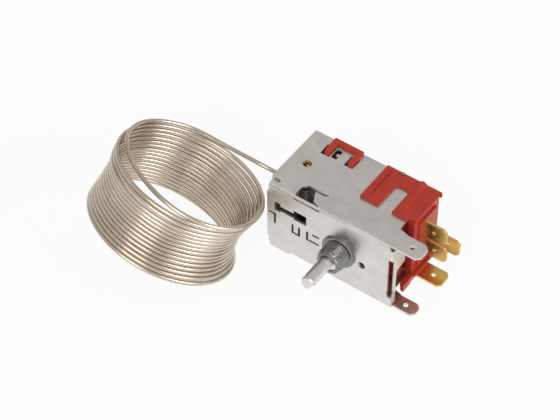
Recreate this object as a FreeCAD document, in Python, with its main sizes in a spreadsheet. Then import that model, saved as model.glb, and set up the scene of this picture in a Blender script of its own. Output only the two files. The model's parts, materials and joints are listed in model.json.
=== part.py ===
import FreeCAD, Part
import math
import os
import Sketcher

# Capillary thermostat, in millimetres. X runs to the right along the front face, Y goes into the body and
# Z is up. The spindle points to -Y and the capillary leaves the left end. Each piece is drawn from the
# channel's front face and set back by the bush ring, so that the panel's seat on the ring is the origin.

SIZES = {
    # folded steel channel
    "sheet_thick": 0.8,
    "channel_high": 28.0,
    "channel_deep": 26.3,
    "left_reach": 25.9,
    "plate_reach": 16.1,
    "face_beyond": 3.0,
    "bend_radius": 1.6,
    "flange_deep": 6.9,
    "flange_narrow": 2.4,
    "flange_step_high": 2.4,
    "flange_slope": 0.6,
    "bend_slot_high": 8.0,
    "bend_slot_wide": 1.6,
    "relief_radius": 1.0,
    "upper_tab_wide": 6.3,
    "upper_tab_front": 0.6,
    "upper_tab_long": 8.2,
    "lower_tab_wide": 4.8,
    "lower_tab_front": 1.3,
    "lower_tab_long": 7.4,
    "tab_hole": 1.6,
    "tab_hole_back": 4.1,
    "tab_chamfer": 1.3,
    "side_hole": 2.6,
    "side_hole_right": 8.2,
    "side_hole_low": 0.9,
    # lanced slots of the front face
    "slot_wide": 0.8,
    "bar_in": 2.2,
    "bar_low": 3.4,
    "bar_eye_wide": 2.1,
    "bar_eye_high": 3.8,
    "bar_neck_long": 4.9,
    "bar_neck_low": 4.0,
    "bar_neck_high": 2.1,
    "bar_mouth_wide": 4.7,
    "bar_mouth_high": 4.0,
    "hook_long": 2.7,
    "hook_top": 1.9,
    "hook_drop": 4.7,
    "tongue_in": 8.5,
    "tongue_wide": 3.2,
    "tongue_top": 1.0,
    "tongue_high": 4.1,
    "bracket_in": 13.9,
    "bracket_wide": 4.8,
    "bracket_low": 2.7,
    "bracket_high": 3.9,
    "dash_long": 2.5,
    "dash_low": 0.5,
    "low_tongue_in": 0.4,
    "low_tongue_wide": 7.3,
    "low_tongue_back": 1.7,
    # openings of the top plate
    "window_in": 9.1,
    "window_wide": 8.8,
    "window_front": 0.8,
    "window_corner": 1.8,
    "window_spike": 1.0,
    "window_waist": 4.4,
    "window_foot": 6.2,
    "bend_slit_low": 0.9,
    "bend_slit_high": 0.6,
    "bend_slit_long": 9.3,
    "leg_slot_front": 19.2,
    "leg_slot_long": 4.3,
    "leg_slot_left": 0.9,
    "keyhole_gap": 0.4,
    "keyhole_wide": 2.0,
    "keyhole_step": 1.6,
    "corner_notch_in": 0.6,
    "corner_notch_wide": 1.9,
    # power element at the left end
    "element_y": 13.15,
    "element_z": 2.7,
    "end_plate_thick": 0.7,
    "end_plate_low": 11.5,
    "end_plate_front": 0.2,
    "end_plate_step": 2.8,
    "end_plate_nose": 10.0,
    "end_plate_back": 0.5,
    "end_plate_window": 5.0,
    "end_flange_wide": 3.2,
    "end_flange_thick": 0.4,
    "diaphragm_radius": 7.2,
    "diaphragm_thick": 0.3,
    "cup_radius": 7.4,
    "cup_deep": 2.0,
    "cup_wall": 0.5,
    "ferrule_radius": 1.3,
    "ferrule_long": 2.5,
    "stud_radius": 2.0,
    "stud_head_radius": 4.0,
    "stud_head_thick": 0.4,
    # capillary
    "capillary_radius": 0.7,
    "coil_radius": 24.0,
    "coil_turns": 16,
    "coil_pitch": 1.45,
    "coil_lean_angle": 29.1,
    "coil_bearing_angle": 61.3,
    "coil_foot_x": -49.7,
    "coil_foot_y": -23.6,
    "coil_waist": 1.2,
    # bush and spindle
    "bush_ring_radius": 5.8,
    "bush_ring_thick": 0.7,
    "bush_thread_radius": 4.45,
    "bush_long": 6.0,
    "bush_nose_radius": 3.9,
    "bush_nose_long": 0.7,
    "bush_rivet_radius": 5.3,
    "bush_rivet_thick": 0.7,
    "spindle_radius": 2.75,
    "spindle_fit": 0.05,
    "spindle_reach": 16.0,
    "spindle_inside": 5.6,
    "flat_depth": 1.75,
    "flat_long": 10.4,
    "flat_angle": -38.0,
    "spindle_chamfer": 0.35,
    "clip_radius": 4.1,
    "clip_thick": 0.5,
    "clip_groove": 0.6,
    "cam_front": 2.7,
    "cam_thick": 2.6,
    "cam_low": 4.6,
    "cam_rise": 1.5,
    "cam_turn_angle": 280.0,
    "cam_dwell_angle": 12.0,
    # follower lever and its pivot
    "follower_in": 12.9,
    "follower_z": 10.3,
    "follower_thick": 0.9,
    "barrel_radius": 1.8,
    "pin_radius": 1.0,
    "pin_fit": 0.05,
    "follower_front": 7.4,
    "follower_back": 17.0,
    "end_play": 0.3,
    "follower_end_in": 1.9,
    "nose_thick": 1.0,
    "nose_gap": 0.15,
    "ear_wide": 5.0,
    "ear_front": 6.3,
    "ear_drop": 2.0,
    # range screw, spring and its plugs
    "screw_in": 4.94,
    "screw_y": 13.2,
    "screw_radius": 1.2,
    "screw_head_radius": 2.3,
    "screw_head_thick": 1.3,
    "screw_long": 9.5,
    "screw_slot_wide": 0.7,
    "screw_slot_deep": 0.7,
    "top_hole": 2.8,
    "spring_wire": 0.7,
    "spring_radius": 2.05,
    "spring_fit": 0.12,
    "plug_long": 2.6,
    "anchor_long": 2.4,
    # main lever and its pivot
    "lever_in": 2.5,
    "lever_z": -10.6,
    "lever_thick": 0.8,
    "lever_front": 8.4,
    "lever_back": 17.8,
    "foot_front": 11.5,
    "foot_back": 14.9,
    "lever_up": 6.4,
    "lever_beyond": 1.4,
    "lever_ear_front": 4.4,
    "lever_ear_back": 20.6,
    "lever_ear_wide": 4.0,
    # push pin and blade
    "push_in": 6.4,
    "push_y": 13.2,
    "push_radius": 1.0,
    "push_tip": 0.35,
    "touch_gap": 0.06,
    "blade_z": -3.2,
    "blade_thick": 0.3,
    "blade_wide": 3.6,
    "blade_in": 1.2,
    "blade_long": 9.0,
    "blade_gap": 0.3,
    "contact_in": 1.4,
    "contact_radius": 1.3,
    "contact_thick": 0.9,
    "contact_open": 0.12,
    "contact_travel": 1.3,
    "bow_radius": 1.7,
    "bow_thick": 0.3,
    "bow_in": 6.4,
    # red moulded housing
    "housing_long": 16.5,
    "housing_front": 10.0,
    "housing_clear": 0.3,
    "housing_wall": 1.3,
    "carrier_front": 12.0,
    "carrier_beyond": 2.8,
    "carrier_left": 0.4,
    "carrier_sill": 0.9,
    "groove_wide": 1.7,
    "groove_deep": 4.0,
    "boss_front": 14.0,
    "boss_beyond": 0.7,
    "boss_low": 6.7,
    "boss_high": 12.4,
    "boss_behind": 2.0,
    "lip_beyond": 1.1,
    "lip_high": 1.2,
    "lip_front": 10.7,
    "back_wall": 1.4,
    "finger_thick": 0.85,
    "finger_front": 11.2,
    "finger_bar_front": 21.3,
    "finger_wide": 6.5,
    "finger_gap": 4.8,
    "finger_round": 1.4,
    "finger_groove_in": 2.2,
    "finger_groove_wide": 0.4,
    "finger_groove_deep": 0.3,
    "finger_groove_front": 13.0,
    "rib_in": 11.4,
    "rib_wide": 2.8,
    "rib_high": 0.9,
    "rib_front": 13.0,
    "tip_beyond": 0.6,
    "tip_deep": 1.3,
    "lug_front": 6.9,
    "lug_wide": 1.7,
    "lug_low": 12.5,
    "lug_high": 2.8,
    # brass terminals
    "brass_thick": 0.8,
    "brass_wide": 6.3,
    "brass_y": 16.2,
    "upper_z": 9.0,
    "upper_long": 7.9,
    "common_z": 1.4,
    "common_long": 8.4,
    "rear_y": 20.9,
    "rear_z": 1.0,
    "rear_long": 10.0,
    "lower_z": -10.3,
    "lower_long": 8.6,
    "brass_hole": 1.5,
    "brass_hole_back": 4.1,
    "brass_chamfer": 1.2,
    "rivet_radius": 1.1,
    "rivet_thick": 0.35,
    # red clip at the back and the steel pin
    "clip_in": 6.4,
    "clip_wide": 10.6,
    "clip_leg_wide": 2.0,
    "clip_leg_front": 19.5,
    "clip_bar_front": 24.6,
    "clip_high": 1.1,
    "clip_round": 0.9,
    "clip_leg_down": 3.2,
    "clip_leg_thick": 1.5,
    "back_pin_in": 5.8,
    "back_pin_radius": 0.5,
    "back_pin_long": 5.0,
    "back_pin_sunk": 0.6,
    # small steps that several pieces use
    "cut_over": 0.1,
    "nose_in": 0.2,
    "anchor_lip": 0.2,
    "blade_corner": 0.6,
    "bow_side": 0.8,
    "root_long": 3.0,
    "lower_step": 1.6,
}

doc = FreeCAD.newDocument("CapillaryThermostat")


class Size:
    """A length that knows its number and the spreadsheet expression that gives it."""

    def __init__(self, number, text):
        self.number = float(number)
        self.text = text

    def __add__(self, other):
        other = as_size(other)
        return Size(self.number + other.number, f"({self.text} + {other.text})")

    def __sub__(self, other):
        other = as_size(other)
        return Size(self.number - other.number, f"({self.text} - {other.text})")

    def __mul__(self, other):
        other = as_size(other)
        return Size(self.number * other.number, f"({self.text} * {other.text})")

    def __truediv__(self, other):
        other = as_size(other)
        return Size(self.number / other.number, f"({self.text} / {other.text})")

    def __neg__(self):
        return Size(-self.number, f"(0 - {self.text})")

    def __float__(self):
        return self.number

    __radd__ = __add__
    __rmul__ = __mul__

    def __rsub__(self, other):
        return as_size(other) - self


def as_size(value):
    """Gives a plain number the same form as a sheet value."""
    return value if isinstance(value, Size) else Size(value, repr(float(value)))


class SheetValues:
    """Reads the driving dimensions from the spreadsheet by their alias."""

    def __init__(self, sheet):
        self.sheet = sheet

    def __getattr__(self, alias):
        return Size(self.sheet.get(alias), f"{self.sheet.Name}.{alias}")


def fill_sheet():
    sheet = doc.addObject("Spreadsheet::Sheet", "Sizes")
    for row, (alias, number) in enumerate(SIZES.items(), start=1):
        sheet.set(f"A{row}", alias)
        sheet.set(f"B{row}", str(number))
        sheet.setAlias(f"B{row}", alias)
    doc.recompute()
    return SheetValues(sheet)


S = fill_sheet()

# Shares of a size, where a form follows it in proportion
RELIEF_ACROSS = 0.7
RELIEF_DOWN = 0.6
CLIP_MOUTH = 0.8
STEM_SHARE = 0.6
CORNER_SHARE = 0.45

# Levels that several pieces share
TOP = S.channel_high / 2
BOTTOM = -TOP
INNER_TOP = TOP - S.sheet_thick
INNER_BOTTOM = -INNER_TOP
PANEL_SEAT = S.bush_ring_thick
FACE_REACH = S.plate_reach + S.face_beyond
CARRIER_RIGHT = S.plate_reach + S.carrier_beyond
BOSS_RIGHT = CARRIER_RIGHT + S.boss_beyond
HOUSING_LEFT = S.plate_reach - S.housing_long
HOUSING_HIGH = INNER_TOP - S.housing_clear
GROOVE_RIGHT = S.plate_reach + S.carrier_left
CHAMBER_TOP = HOUSING_HIGH - S.housing_wall
CHAMBER_RIGHT = GROOVE_RIGHT - S.groove_wide - S.housing_wall
CHAMBER_FRONT = S.housing_front + S.housing_wall
CHAMBER_BACK = S.channel_deep - S.back_wall - S.housing_wall
BLADE_FRONT = CHAMBER_FRONT + S.housing_clear
BLADE_BACK = BLADE_FRONT + S.blade_wide
FOLLOWER_LEFT = S.follower_end_in - S.left_reach
FOLLOWER_X = S.follower_in - S.left_reach
SCREW_X = S.screw_in - S.left_reach
LEVER_X = S.lever_in - S.left_reach
PUSH_X = HOUSING_LEFT + S.push_in
BLADE_LEFT = HOUSING_LEFT + S.blade_in
BLADE_HINGE = BLADE_LEFT + S.blade_long
CONTACT_X = BLADE_LEFT + S.contact_in
CLIP_LEFT = S.clip_in - S.left_reach
CLIP_RIGHT = CLIP_LEFT + S.clip_wide
BACK_PIN_X = HOUSING_LEFT + S.back_pin_in


def bind(thing, prop, size):
    """Ties one property of an object to the sheet."""
    thing.setExpression(prop, as_size(size).text)


def move(thing, x=0, y=0, z=0):
    bind(thing, "Placement.Base.x", x)
    bind(thing, "Placement.Base.y", y)
    bind(thing, "Placement.Base.z", z)


def make_body(name):
    body = doc.addObject("PartDesign::Body", name)
    body.Label = name
    move(body, 0, PANEL_SEAT, 0)
    return body


def make_feature(name, shape):
    """A piece whose shape is made by code, set back like all the others."""
    item = doc.addObject("Part::Feature", name)
    item.Label = name
    item.Shape = shape
    bind(item, "Placement.Base.y", PANEL_SEAT + item.Placement.Base.y)
    return item


def origin_plane(body, role):
    return [item for item in body.Origin.OriginFeatures if item.Role == role][0]


def new_sketch(body, name, role, start):
    """A sketch on one of the body's origin planes, moved to the level start along its world axis."""
    sketch = body.newObject("Sketcher::SketchObject", name)
    sketch.AttachmentSupport = [(origin_plane(body, role), "")]
    sketch.MapMode = "FlatFace"
    level = as_size(start)
    bind(sketch, "AttachmentOffset.Base.z", -level if role == "XZ_Plane" else level)
    return sketch


def pin_point(sketch, geometry, position, point):
    """Fixes one point of a sketch at its two sheet values."""
    for kind, size in zip(("DistanceX", "DistanceY"), point):
        size = as_size(size)
        number = sketch.addConstraint(Sketcher.Constraint(kind, -1, 1, geometry, position, size.number))
        sketch.setExpression(f"Constraints[{number}]", size.text)


def draw_outline(sketch, points):
    """Adds one closed outline of straight lines through points of sheet values."""
    first = sketch.GeometryCount
    count = len(points)
    vectors = [FreeCAD.Vector(float(x), float(y), 0) for x, y in points]
    for index in range(count):
        line = Part.LineSegment(vectors[index], vectors[(index + 1) % count])
        sketch.addGeometry(line, False)
    for index in range(count):
        following = first + (index + 1) % count
        sketch.addConstraint(Sketcher.Constraint("Coincident", first + index, 2, following, 1))
        pin_point(sketch, first + index, 1, points[index])


def draw_circle(sketch, centre, radius):
    radius = as_size(radius)
    middle = FreeCAD.Vector(float(centre[0]), float(centre[1]), 0)
    number = sketch.addGeometry(Part.Circle(middle, FreeCAD.Vector(0, 0, 1), radius.number), False)
    pin_point(sketch, number, 3, centre)
    limit = sketch.addConstraint(Sketcher.Constraint("Radius", number, radius.number))
    sketch.setExpression(f"Constraints[{limit}]", radius.text)


def rectangle(left, right, low, high):
    return [(left, low), (right, low), (right, high), (left, high)]


def draw_all(sketch, outlines, circles):
    for points in outlines:
        draw_outline(sketch, points)
    for centre, radius in circles:
        draw_circle(sketch, centre, radius)


def add(body, name, role, start, length, outlines=(), circles=()):
    """Pads a sketch from start, always towards the positive world axis."""
    sketch = new_sketch(body, name + "_sketch", role, start)
    draw_all(sketch, outlines, circles)
    pad = body.newObject("PartDesign::Pad", name)
    pad.Profile = sketch
    pad.Reversed = role == "XZ_Plane"
    bind(pad, "Length", length)
    doc.recompute()
    return pad


def cut(body, name, role, start, length, outlines=(), circles=()):
    """Pockets a sketch from start towards the positive world axis, and checks that metal went."""
    before = body.Shape.Volume
    sketch = new_sketch(body, name + "_sketch", role, start)
    draw_all(sketch, outlines, circles)
    pocket = body.newObject("PartDesign::Pocket", name)
    pocket.Profile = sketch
    pocket.Reversed = role != "XZ_Plane"
    bind(pocket, "Length", length)
    doc.recompute()
    if body.Shape.Volume >= before:
        raise RuntimeError(f"{name} cuts nothing")
    return pocket


def runs_along(edge, axis):
    """True for a straight edge that runs along one world axis."""
    if not isinstance(edge.Curve, Part.Line):
        return False
    return abs(abs(edge.Curve.Direction[axis]) - 1) < 1e-6


def edges_at(shape, axis, points):
    """Names the straight edges along an axis that pass through the given places of the other two."""
    others = [index for index in range(3) if index != axis]
    names = []
    for number, edge in enumerate(shape.Edges, start=1):
        if not runs_along(edge, axis):
            continue
        place = edge.CenterOfMass
        for point in points:
            gap = max(abs(place[index] - float(value)) for index, value in zip(others, point))
            if gap < 1e-4:
                names.append(f"Edge{number}")
    return names


def dress(body, kind, name, axis, radius, points):
    """Rounds or bevels the edges along an axis at the given places."""
    base = body.Tip
    names = edges_at(base.Shape, axis, points)
    if not names:
        raise RuntimeError(f"{name} finds no edge")
    feature = body.newObject("PartDesign::" + kind, name)
    feature.Base = (base, names)
    bind(feature, "Radius" if kind == "Fillet" else "Size", radius)
    doc.recompute()
    return feature


def turn(body, name, points):
    """Turns an outline of (radius, distance along Y) pairs about the Y axis."""
    sketch = new_sketch(body, name + "_sketch", "XY_Plane", 0)
    draw_outline(sketch, points)
    feature = body.newObject("PartDesign::Revolution", name)
    feature.Profile = sketch
    feature.ReferenceAxis = (sketch, ["V_Axis"])
    feature.Angle = 360
    doc.recompute()
    return feature


def cylinder(name, radius, length, place, axis="Z"):
    """A round piece that starts at place and runs along a positive world axis."""
    item = doc.addObject("Part::Cylinder", name)
    item.Label = name
    bind(item, "Radius", radius)
    bind(item, "Height", length)
    turns = {"Z": ((0, 0, 1), 0), "X": ((0, 1, 0), 90), "Y": ((1, 0, 0), -90)}
    direction, angle = turns[axis]
    item.Placement.Rotation = FreeCAD.Rotation(FreeCAD.Vector(*direction), angle)
    x, y, z = place
    move(item, x, y + PANEL_SEAT, z)
    return item


def fuse(name, parts):
    item = doc.addObject("Part::MultiFuse", name)
    item.Label = name
    item.Shapes = parts
    return item


def take_away(name, base, tool):
    item = doc.addObject("Part::Cut", name)
    item.Label = name
    item.Base = base
    item.Tool = tool
    return item


# Channel

def tab_outline(root, reach, front, wide):
    """A push-on tab in plan, with its two bevelled corners."""
    bevel = S.tab_chamfer
    back = front + wide
    return [
        (root, front), (reach - bevel, front), (reach, front + bevel),
        (reach, back - bevel), (reach - bevel, back), (root, back),
    ]


def channel_profile(body):
    inside = S.channel_deep
    add(body, "Fold", "YZ_Plane", -S.left_reach, S.left_reach + FACE_REACH, [[
        (0, BOTTOM), (inside, BOTTOM), (inside, INNER_BOTTOM), (S.sheet_thick, INNER_BOTTOM),
        (S.sheet_thick, INNER_TOP), (inside, INNER_TOP), (inside, TOP), (0, TOP),
    ]])
    dress(body, "Fillet", "OuterBends", 0, S.bend_radius, [(0, BOTTOM), (0, TOP)])
    corners = [(S.sheet_thick, INNER_BOTTOM), (S.sheet_thick, INNER_TOP)]
    dress(body, "Fillet", "InnerBends", 0, S.bend_radius - S.sheet_thick, corners)


def channel_plate_ends(body):
    """Cuts both plates back behind the tabs and round the moulded housing."""
    beyond = FACE_REACH + 1
    behind = S.channel_deep + 1
    upper_back = S.upper_tab_front + S.upper_tab_wide
    lower_back = S.lower_tab_front + S.lower_tab_wide
    housing_edge = S.channel_deep - S.back_wall - S.housing_clear
    for name, level, back in (("TopEnd", INNER_TOP, upper_back), ("BottomEnd", BOTTOM, lower_back)):
        cut(body, name, "XY_Plane", level, S.sheet_thick, [[
            (S.plate_reach, back + S.slot_wide), (beyond, back), (beyond, behind),
            (HOUSING_LEFT - S.housing_clear, behind), (HOUSING_LEFT - S.housing_clear, housing_edge),
            (S.plate_reach, housing_edge),
        ]])


def channel_tabs(body):
    root = S.plate_reach
    upper = tab_outline(root, (FACE_REACH + S.upper_tab_long), S.upper_tab_front, S.upper_tab_wide)
    lower = tab_outline(root, (FACE_REACH + S.lower_tab_long), S.lower_tab_front, S.lower_tab_wide)
    add(body, "UpperTab", "XY_Plane", INNER_TOP, S.sheet_thick, [upper])
    add(body, "LowerTab", "XY_Plane", BOTTOM, S.sheet_thick, [lower])
    upper_hole = ((FACE_REACH + S.upper_tab_long) - S.tab_hole_back, S.upper_tab_front + S.upper_tab_wide / 2)
    lower_hole = ((FACE_REACH + S.lower_tab_long) - S.tab_hole_back, S.lower_tab_front + S.lower_tab_wide / 2)
    cut(body, "UpperTabHole", "XY_Plane", INNER_TOP, S.sheet_thick, circles=[(upper_hole, S.tab_hole / 2)])
    cut(body, "LowerTabHole", "XY_Plane", BOTTOM, S.sheet_thick, circles=[(lower_hole, S.tab_hole / 2)])


def channel_flange(body):
    """The folded right end, deep at the top and narrow beside the slot at its bend."""
    inner = FACE_REACH - S.sheet_thick
    high = S.flange_step_high
    low = high - S.flange_slope
    bottom = INNER_BOTTOM + S.slot_wide
    top = INNER_TOP - S.slot_wide
    add(body, "Flange", "YZ_Plane", inner, S.sheet_thick, [[
        (0, bottom), (S.flange_narrow, bottom), (S.flange_narrow, low),
        (S.flange_deep, high), (S.flange_deep, top), (0, top),
    ]])
    dress(body, "Fillet", "FlangeStep", 0, S.relief_radius, [(S.flange_narrow, low), (S.flange_deep, high)])
    cut(body, "BendSlot", "XZ_Plane", -S.cut_over, S.sheet_thick + S.cut_over, [
        rectangle(FACE_REACH - S.bend_slot_wide, FACE_REACH + 1, low, S.bend_slot_high)])
    corner = (FACE_REACH - S.relief_radius * RELIEF_ACROSS, TOP - S.relief_radius * RELIEF_DOWN)
    cut(body, "CornerRelief", "XZ_Plane", -S.cut_over, S.bend_radius, circles=[(corner, S.relief_radius)])
    left = FACE_REACH - S.sheet_thick * 2
    cut(body, "LowRelief", "XZ_Plane", -S.cut_over, S.bend_radius, [
        rectangle(left, left + S.sheet_thick, BOTTOM - 1, INNER_BOTTOM + S.slot_wide / 2)])


def bar_slot():
    """The long opening at the upper left: an eye, a narrow neck and a wider mouth."""
    left = S.bar_in - S.left_reach
    eye = left + S.bar_eye_wide
    mouth = eye + S.bar_neck_long
    right = mouth + S.bar_mouth_wide
    neck_top = S.bar_neck_low + S.bar_neck_high
    eye_top = S.bar_low + S.bar_eye_high
    mouth_top = S.bar_low + S.bar_mouth_high
    return [
        (left, S.bar_low), (eye, S.bar_low), (eye, S.bar_neck_low), (mouth, S.bar_neck_low),
        (mouth, S.bar_low), (right, S.bar_low), (right, mouth_top), (mouth, mouth_top),
        (mouth, neck_top), (eye, neck_top), (eye, eye_top), (left, eye_top),
    ]


def hook_slot():
    """A slot that comes in from the left edge and turns down."""
    wide = S.slot_wide
    edge = -S.left_reach - 1
    right = S.hook_long - S.left_reach
    low = S.hook_top - S.hook_drop
    return [
        (edge, S.hook_top - wide), (right - wide, S.hook_top - wide), (right - wide, low), (right, low),
        (right, S.hook_top), (edge, S.hook_top),
    ]


def tongue_slot():
    """A U that frees a small tongue."""
    wide = S.slot_wide
    left = S.tongue_in - S.left_reach
    right = left + S.tongue_wide
    top = S.tongue_top
    low = top - S.tongue_high
    return [
        (left, top), (left, low), (right, low), (right, top), (right - wide, top),
        (right - wide, low + wide), (left + wide, low + wide), (left + wide, top),
    ]


def bracket_slots():
    """An L with a short dash above its foot."""
    wide = S.slot_wide
    left = S.bracket_in - S.left_reach
    right = left + S.bracket_wide
    low = -S.bracket_low
    high = low + S.bracket_high
    corner = [(left, low), (right, low), (right, low + wide), (left + wide, low + wide), (left + wide, high),
              (left, high)]
    return [corner, rectangle(right - S.dash_long, right, S.dash_low, S.dash_low + wide)]


def front_slots(body):
    """Lanced slots of the front face, with the bush's hole and the hole to the right of it."""
    through = S.sheet_thick + S.cut_over * 2
    slots = [bar_slot(), hook_slot(), tongue_slot(), *bracket_slots()]
    cut(body, "FrontSlots", "XZ_Plane", -S.cut_over, through, slots)
    hole = (S.side_hole_right, -S.side_hole_low)
    cut(body, "SideHole", "XZ_Plane", -S.cut_over, through, circles=[(hole, S.side_hole / 2)])
    cut(body, "BushHole", "XZ_Plane", -S.cut_over, through, circles=[((0, 0), S.bush_thread_radius)])


def low_tongue(body):
    """At the lower left the front face runs straight down past the bend, which starts beside it."""
    left = S.low_tongue_in - S.left_reach
    right = left + S.low_tongue_wide
    level = INNER_BOTTOM + S.bend_radius - S.sheet_thick
    cut(body, "BendGap", "YZ_Plane", -S.left_reach - 1, right + S.slot_wide + S.left_reach + 1, [
        rectangle(-S.cut_over, S.low_tongue_back, BOTTOM - S.cut_over, level)])
    add(body, "LowTongue", "XZ_Plane", 0, S.sheet_thick, [rectangle(left, right, BOTTOM, level)])


def window_outline():
    """The opening behind the front bend: bevelled at its left, with a thin spike to the right."""
    left = S.window_in - S.left_reach
    right = left + S.window_wide
    back = S.ear_front
    corner = S.window_corner
    return [
        (left, S.window_front), (right, S.window_front),
        (left + S.window_foot, S.window_front + S.window_spike),
        (left + S.window_waist, back - S.window_spike), (right - S.window_spike, back - S.window_spike),
        (right, back), (left + corner, back), (left, back - corner),
    ]


def clip_slots():
    """The two slots that the red clip's legs go down through."""
    back = S.leg_slot_front + S.leg_slot_long
    slots = []
    for left in (CLIP_LEFT, CLIP_RIGHT - S.clip_leg_wide):
        start = left - S.leg_slot_left
        end = left + S.clip_leg_wide + S.housing_clear
        slots.append(rectangle(start, end, S.leg_slot_front, back))
    return slots


def keyhole_outline():
    """A stepped opening beside the left slot."""
    left = CLIP_LEFT + S.clip_leg_wide + S.keyhole_gap + S.housing_clear
    middle = left + S.keyhole_wide / 2
    right = left + S.keyhole_wide
    front = S.leg_slot_front
    back = front + S.leg_slot_long
    return [
        (left, front + S.keyhole_gap), (right, front + S.keyhole_gap), (right, front + S.keyhole_step),
        (middle, front + S.keyhole_step), (middle, back - S.keyhole_step), (right, back - S.keyhole_step),
        (right, back), (left, back),
    ]


def top_openings(body):
    """Openings of the top plate: adjusting hole, clip slots, keyhole, and the window with its slit."""
    cut(body, "AdjustHole", "XY_Plane", INNER_TOP, S.sheet_thick,
        circles=[((SCREW_X, S.screw_y), S.top_hole / 2)])
    cut(body, "ClipSlots", "XY_Plane", INNER_TOP, S.sheet_thick, [*clip_slots(), keyhole_outline()])
    cut(body, "Window", "XY_Plane", INNER_TOP - S.bend_radius, S.bend_radius + S.sheet_thick,
        [window_outline()])
    high = TOP - S.bend_slit_low
    left = S.window_in - S.left_reach
    cut(body, "BendSlit", "XZ_Plane", -S.cut_over, S.sheet_thick + S.cut_over, [
        rectangle(left, left + S.bend_slit_long, high - S.bend_slit_high, high)])
    notch = S.corner_notch_in - S.left_reach
    cut(body, "CornerNotch", "XY_Plane", INNER_TOP, S.sheet_thick, [
        rectangle(notch, notch + S.corner_notch_wide, S.end_plate_step - S.sheet_thick, S.end_plate_step)])


def follower_ears(body):
    """Two ears folded down from the top plate, at the window and at the back edge, for the follower's pin."""
    half = S.ear_wide / 2
    low = S.follower_z - S.ear_drop
    for name, start in (("WindowEar", S.ear_front), ("RearEar", S.channel_deep - S.sheet_thick)):
        add(body, name, "XZ_Plane", start, S.sheet_thick,
            [rectangle(FOLLOWER_X - half, FOLLOWER_X + half, low, INNER_TOP)],
            [((FOLLOWER_X, S.follower_z), S.pin_radius)])


def lever_ears(body):
    """Two ears folded up from the bottom plate for the main lever's pin."""
    half = S.lever_ear_wide / 2
    high = S.lever_z + half
    for name, start in (("FrontEar", S.lever_ear_front), ("BackEar", S.lever_ear_back - S.sheet_thick)):
        add(body, name, "XZ_Plane", start, S.sheet_thick,
            [rectangle(LEVER_X - half, LEVER_X + half, INNER_BOTTOM, high)],
            [((LEVER_X, S.lever_z), S.pin_radius)])


def make_channel():
    body = make_body("frame_channel")
    channel_profile(body)
    channel_plate_ends(body)
    channel_flange(body)
    channel_tabs(body)
    front_slots(body)
    low_tongue(body)
    top_openings(body)
    follower_ears(body)
    lever_ears(body)
    return body


# Power element

PLATE_RIGHT = -S.left_reach
PLATE_LEFT = PLATE_RIGHT - S.end_plate_thick
ELEMENT_FACE = PLATE_LEFT - S.diaphragm_thick
CUP_BACK = ELEMENT_FACE - S.cup_deep


def make_end_plate():
    """The plate on the channel's left edges, folded over onto the top plate."""
    body = make_body("end_plate")
    low = -S.end_plate_low
    nose = S.end_plate_nose
    front = S.end_plate_front
    step = S.end_plate_step
    back = S.channel_deep - S.end_plate_back
    high = TOP + S.end_flange_thick
    add(body, "Plate", "YZ_Plane", PLATE_LEFT, S.end_plate_thick, [[
        (front, -nose), (step, -nose), (step, low), (back, low), (back, high), (step, high), (step, nose),
        (front, nose),
    ]], [((S.element_y, S.element_z), S.end_plate_window)])
    add(body, "TopFlange", "XY_Plane", TOP, S.end_flange_thick, [
        rectangle(PLATE_LEFT, PLATE_LEFT + S.end_flange_wide, step, back)])
    dress(body, "Fillet", "LowCorner", 0, S.bend_radius, [(back, low)])
    return body


def make_element():
    centre = (S.element_y, S.element_z)
    disc = cylinder("diaphragm", S.diaphragm_radius, S.diaphragm_thick, (ELEMENT_FACE, *centre), "X")
    shell = cylinder("CupOuter", S.cup_radius, S.cup_deep, (CUP_BACK, *centre), "X")
    hollow = cylinder("CupHollow", S.cup_radius - S.cup_wall * 3, S.cup_deep - S.cup_wall,
                      (CUP_BACK + S.cup_wall, *centre), "X")
    mouth = cylinder("CupMouth", S.capillary_radius, S.cup_deep, (CUP_BACK - S.cup_wall, *centre), "X")
    cup = take_away("element_cup", shell, fuse("CupCuts", [hollow, mouth]))
    sleeve = cylinder("FerruleOuter", S.ferrule_radius, S.ferrule_long,
                      (CUP_BACK - S.ferrule_long, *centre), "X")
    bore = cylinder("FerruleBore", S.capillary_radius, S.ferrule_long,
                    (CUP_BACK - S.ferrule_long, *centre), "X")
    ferrule = take_away("capillary_ferrule", sleeve, bore)
    return [disc, cup, ferrule]


def make_stud():
    """The button between the diaphragm and the main lever, with a stepped tip."""
    centre = (S.element_y, S.element_z)
    head = cylinder("StudHead", S.stud_head_radius, S.stud_head_thick, (PLATE_LEFT, *centre), "X")
    reach = LEVER_FACE - S.touch_gap - PLATE_LEFT
    tip = S.stud_head_thick
    stem = cylinder("StudStem", S.stud_radius, reach - tip, (PLATE_LEFT, *centre), "X")
    end = cylinder("StudTip", S.stud_radius / 2, tip, (PLATE_LEFT + reach - tip, *centre), "X")
    return fuse("pressure_stud", [head, stem, end])


# Bush and spindle

def make_bush():
    body = make_body("threaded_bush")
    bore = S.spindle_radius + S.spindle_fit
    back = S.sheet_thick + S.bush_rivet_thick
    shoulder = -S.bush_long + S.bush_nose_long
    turn(body, "Turned", [
        (bore, -S.bush_long), (S.bush_nose_radius, -S.bush_long), (S.bush_thread_radius, shoulder),
        (S.bush_thread_radius, -S.bush_ring_thick), (S.bush_ring_radius, -S.bush_ring_thick),
        (S.bush_ring_radius, 0), (S.bush_thread_radius, 0), (S.bush_thread_radius, S.sheet_thick),
        (S.bush_rivet_radius, S.sheet_thick), (S.bush_rivet_radius, back), (bore, back),
    ])
    return body


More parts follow.
